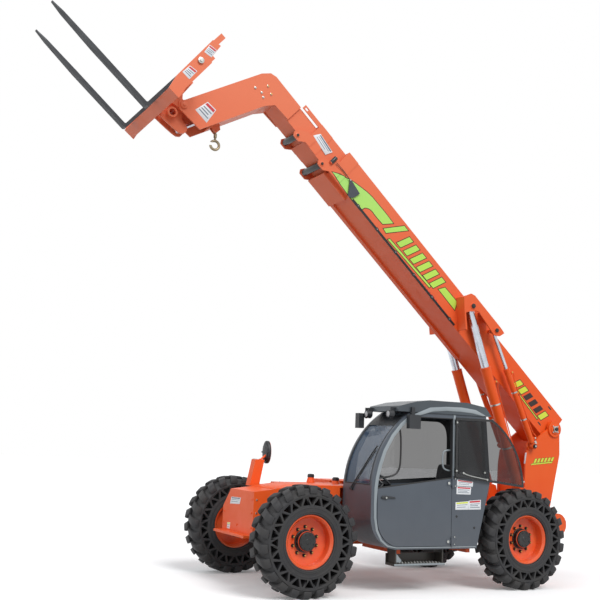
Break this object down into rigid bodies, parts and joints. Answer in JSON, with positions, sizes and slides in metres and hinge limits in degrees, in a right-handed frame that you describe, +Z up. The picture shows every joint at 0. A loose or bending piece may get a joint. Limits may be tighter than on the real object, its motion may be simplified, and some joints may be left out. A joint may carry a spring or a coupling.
{
  "type": "telehandler",
  "caption": "Rough-terrain telehandler with a telescopic boom, tilting pallet forks, side cab and steered wheels, standing with its boom raised.",
  "frame": {"origin": "on the ground, under the middle of the whole machine's box as it stands with its boom raised", "axes": "+X to the machine's left, +Y to its rear, +Z up"},
  "size_m": [2.544, 8.16, 6.9028],
  "materials": {
    "axle_black": "axle black",
    "bare_steel": "bare steel",
    "black_paint": "black paint",
    "cab_grey": "cab grey",
    "chrome_rod": "chrome rod",
    "fork_steel": "fork steel",
    "machine_orange": "machine orange",
    "plastic_black": "plastic black",
    "rim_orange": "rim orange",
    "seat_cloth": "seat cloth",
    "tinted_glass": "tinted glass",
    "tyre_rubber": "tyre rubber"
  },
  "bodies": {
    "base": {"chassis_rails": "machine_orange", "cross_plates": "machine_orange", "nose_housing": "machine_orange", "boom_pivot_pin": "bare_steel", "counterweight": "machine_orange", "transmission": "axle_black", "engine_block": "axle_black", "engine_box": "machine_orange", "fuel_tank": "machine_orange", "nose_mirror": "machine_orange", "cab_shell": "cab_grey", "cab_top_frame": "cab_grey", "cab_roof": "cab_grey", "windscreen": "tinted_glass", "cab_glass": "tinted_glass", "door_window": "tinted_glass", "seat": "seat_cloth", "dashboard": "plastic_black", "entry_step": "black_paint", "cab_mirrors": "plastic_black", "work_lights": "plastic_black", "door_hinges": "black_paint", "front_axle": "axle_black", "rear_axle": "axle_black"},
    "door": {"cab_door": "cab_grey"},
    "lid": {"engine_lid": "machine_orange"},
    "boom": {"boom_outer": "machine_orange", "angle_indicator": "bare_steel"},
    "middle": {"boom_middle": "machine_orange"},
    "inner": {"boom_inner": "machine_orange"},
    "carriage": {"carriage": "machine_orange", "coupler": "machine_orange", "forks": "fork_steel"},
    "hook": {"hook": "bare_steel"},
    "tilt_barrel": {"tilt_barrel": "machine_orange"},
    "tilt_rod": {"tilt_rod": "chrome_rod"},
    "front_left_knuckle": {"front_left_knuckle": "axle_black"},
    "front_left_wheel": {"front_left_rim": "rim_orange", "front_left_tyre": "tyre_rubber"},
    "front_right_knuckle": {"front_right_knuckle": "axle_black"},
    "front_right_wheel": {"front_right_rim": "rim_orange", "front_right_tyre": "tyre_rubber"},
    "rear_left_knuckle": {"rear_left_knuckle": "axle_black"},
    "rear_left_wheel": {"rear_left_rim": "rim_orange", "rear_left_tyre": "tyre_rubber"},
    "rear_right_knuckle": {"rear_right_knuckle": "axle_black"},
    "rear_right_wheel": {"rear_right_rim": "rim_orange", "rear_right_tyre": "tyre_rubber"},
    "lift_barrel_left": {"lift_barrel_left": "machine_orange"},
    "lift_rod_left": {"lift_rod_left": "chrome_rod"},
    "lift_barrel_right": {"lift_barrel_right": "machine_orange"},
    "lift_rod_right": {"lift_rod_right": "chrome_rod"},
    "slave_barrel_left": {"slave_barrel_left": "machine_orange"},
    "slave_rod_left": {"slave_rod_left": "chrome_rod"},
    "slave_barrel_right": {"slave_barrel_right": "machine_orange"},
    "slave_rod_right": {"slave_rod_right": "chrome_rod"}
  },
  "joints": [
    {"name": "front_left_steer", "type": "hinge", "parent": "base", "child": "front_left_knuckle", "pos_m": [0.9, -0.73991, 0.655], "axis": [0, 0, 1], "range_deg": [-30, 30]},
    {"name": "front_left_spin", "type": "hinge", "parent": "front_left_knuckle", "child": "front_left_wheel", "pos_m": [1.092, -0.73991, 0.655], "axis": [1, 0, 0], "continuous": true},
    {"name": "front_right_steer", "type": "hinge", "parent": "base", "child": "front_right_knuckle", "pos_m": [-0.9, -0.73991, 0.655], "axis": [0, 0, 1], "range_deg": [-30, 30]},
    {"name": "front_right_spin", "type": "hinge", "parent": "front_right_knuckle", "child": "front_right_wheel", "pos_m": [-1.092, -0.73991, 0.655], "axis": [1, 0, 0], "continuous": true},
    {"name": "rear_left_steer", "type": "hinge", "parent": "base", "child": "rear_left_knuckle", "pos_m": [0.9, 2.54009, 0.655], "axis": [0, 0, 1], "range_deg": [-30, 30]},
    {"name": "rear_left_spin", "type": "hinge", "parent": "rear_left_knuckle", "child": "rear_left_wheel", "pos_m": [1.092, 2.54009, 0.655], "axis": [1, 0, 0], "continuous": true},
    {"name": "rear_right_steer", "type": "hinge", "parent": "base", "child": "rear_right_knuckle", "pos_m": [-0.9, 2.54009, 0.655], "axis": [0, 0, 1], "range_deg": [-30, 30]},
    {"name": "rear_right_spin", "type": "hinge", "parent": "rear_right_knuckle", "child": "rear_right_wheel", "pos_m": [-1.092, 2.54009, 0.655], "axis": [1, 0, 0], "continuous": true},
    {"name": "door_hinge", "type": "hinge", "parent": "base", "child": "door", "pos_m": [1.199, 1.34009, 0.9], "axis": [0, 0, 1], "range_deg": [0, 95]},
    {"name": "lid_hinge", "type": "hinge", "parent": "base", "child": "lid", "pos_m": [-0.492, 1.10009, 1.29], "axis": [0, 1, 0], "range_deg": [0, 60]},
    {"name": "boom_lift", "type": "hinge", "parent": "base", "child": "boom", "pos_m": [0, 3.86009, 2.167], "axis": [-1, 0, 0], "range_deg": [-45, 28]},
    {"name": "middle_extend", "type": "slide", "parent": "boom", "child": "middle", "axis": [0, -0.7431, 0.6691], "range_m": [-0.3, 2.5]},
    {"name": "inner_extend", "type": "slide", "parent": "middle", "child": "inner", "axis": [0, -0.7431, 0.6691], "range_m": [-0.3, 2.5]},
    {"name": "carriage_tilt", "type": "hinge", "parent": "inner", "child": "carriage", "pos_m": [0, -2.26669, 6.04056], "axis": [1, 0, 0], "range_deg": [-15, 93]},
    {"name": "hook_swing", "type": "hinge", "parent": "inner", "child": "hook", "pos_m": [0, -1.74033, 5.85997], "axis": [1, 0, 0], "range_deg": [-45, 45]},
    {"name": "lift_barrel_left_swing", "type": "hinge", "parent": "base", "child": "lift_barrel_left", "pos_m": [0.344, 3.16509, 1.25], "axis": [-1, 0, 0], "range_deg": [-37.27, 23.57]},
    {"name": "lift_rod_left_slide", "type": "slide", "parent": "lift_barrel_left", "child": "lift_rod_left", "axis": [0, -0.3426, 0.9395], "range_m": [-0.8221, 0.5153]},
    {"name": "lift_barrel_right_swing", "type": "hinge", "parent": "base", "child": "lift_barrel_right", "pos_m": [-0.344, 3.16509, 1.25], "axis": [-1, 0, 0], "range_deg": [-37.27, 23.57]},
    {"name": "lift_rod_right_slide", "type": "slide", "parent": "lift_barrel_right", "child": "lift_rod_right", "axis": [0, -0.3426, 0.9395], "range_m": [-0.8221, 0.5153]},
    {"name": "slave_barrel_left_swing", "type": "hinge", "parent": "base", "child": "slave_barrel_left", "pos_m": [0.366, 3.41009, 1.9], "axis": [-1, 0, 0], "range_deg": [-46.43, 29.27]},
    {"name": "slave_rod_left_slide", "type": "slide", "parent": "slave_barrel_left", "child": "slave_rod_left", "axis": [0, -0.4218, 0.9067], "range_m": [-0.3879, 0.2452]},
    {"name": "slave_barrel_right_swing", "type": "hinge", "parent": "base", "child": "slave_barrel_right", "pos_m": [-0.366, 3.41009, 1.9], "axis": [-1, 0, 0], "range_deg": [-46.43, 29.27]},
    {"name": "slave_rod_right_slide", "type": "slide", "parent": "slave_barrel_right", "child": "slave_rod_right", "axis": [0, -0.4218, 0.9067], "range_m": [-0.3879, 0.2452]},
    {"name": "tilt_barrel_swing", "type": "hinge", "parent": "inner", "child": "tilt_barrel", "pos_m": [0, -1.18898, 6.41851], "axis": [1, 0, 0], "range_deg": [-4.59, 1.58]},
    {"name": "tilt_rod_slide", "type": "slide", "parent": "tilt_barrel", "child": "tilt_rod", "axis": [0, -0.8551, -0.5184], "range_m": [-0.3761, 0.0691]}
  ],
  "couplings": [
    {"joint": "front_right_steer", "follows": "front_left_steer", "ratio": 1},
    {"joint": "rear_right_steer", "follows": "rear_left_steer", "ratio": 1},
    {"joint": "inner_extend", "follows": "middle_extend", "ratio": 1},
    {"joint": "lift_barrel_left_swing", "follows": "boom_lift", "ratio": 0.80603},
    {"joint": "lift_rod_left_slide", "follows": "boom_lift", "m_per_rad": 1.034},
    {"joint": "lift_barrel_right_swing", "follows": "boom_lift", "ratio": 0.80603},
    {"joint": "lift_rod_right_slide", "follows": "boom_lift", "m_per_rad": 1.034},
    {"joint": "slave_barrel_left_swing", "follows": "boom_lift", "ratio": 1.0095},
    {"joint": "slave_rod_left_slide", "follows": "boom_lift", "m_per_rad": 0.48119},
    {"joint": "slave_barrel_right_swing", "follows": "boom_lift", "ratio": 1.0095},
    {"joint": "slave_rod_right_slide", "follows": "boom_lift", "m_per_rad": 0.48119},
    {"joint": "tilt_barrel_swing", "follows": "carriage_tilt", "ratio": -0.03865},
    {"joint": "tilt_rod_slide", "follows": "carriage_tilt", "m_per_rad": -0.22557}
  ]
}
